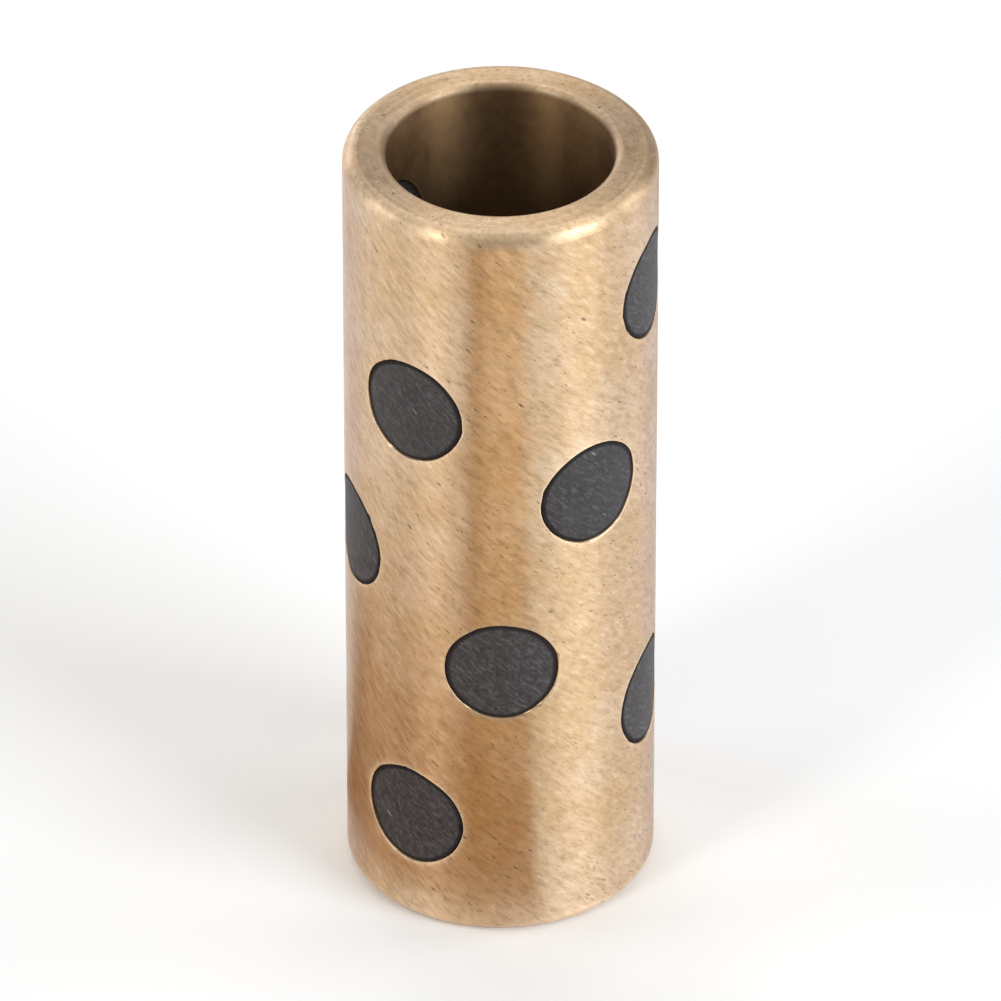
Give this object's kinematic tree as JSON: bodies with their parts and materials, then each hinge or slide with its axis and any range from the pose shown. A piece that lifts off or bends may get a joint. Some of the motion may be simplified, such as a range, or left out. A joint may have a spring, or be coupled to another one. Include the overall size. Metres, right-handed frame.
{
  "type": "sleeve bushing",
  "caption": "Plain cylindrical bronze sleeve bushing with graphite plugs pressed through its wall, flush with the outside and the bore.",
  "frame": {"origin": "centre of the lower end face, on the bore axis", "axes": "+Z along the bore axis from the lower end face to the upper one; the lowest pair of plugs lies on the Y axis"},
  "size_m": [0.011, 0.011, 0.03],
  "materials": {
    "bronze": "satin",
    "graphite": "matte"
  },
  "bodies": {
    "root": {"sleeve": "bronze", "graphite_plug_1a": "graphite", "graphite_plug_1b": "graphite", "graphite_plug_2a": "graphite", "graphite_plug_2b": "graphite", "graphite_plug_3a": "graphite", "graphite_plug_3b": "graphite", "graphite_plug_4a": "graphite", "graphite_plug_4b": "graphite", "graphite_plug_5a": "graphite", "graphite_plug_5b": "graphite", "graphite_plug_6a": "graphite", "graphite_plug_6b": "graphite", "graphite_plug_7a": "graphite", "graphite_plug_7b": "graphite"}
  },
  "joints": []
}
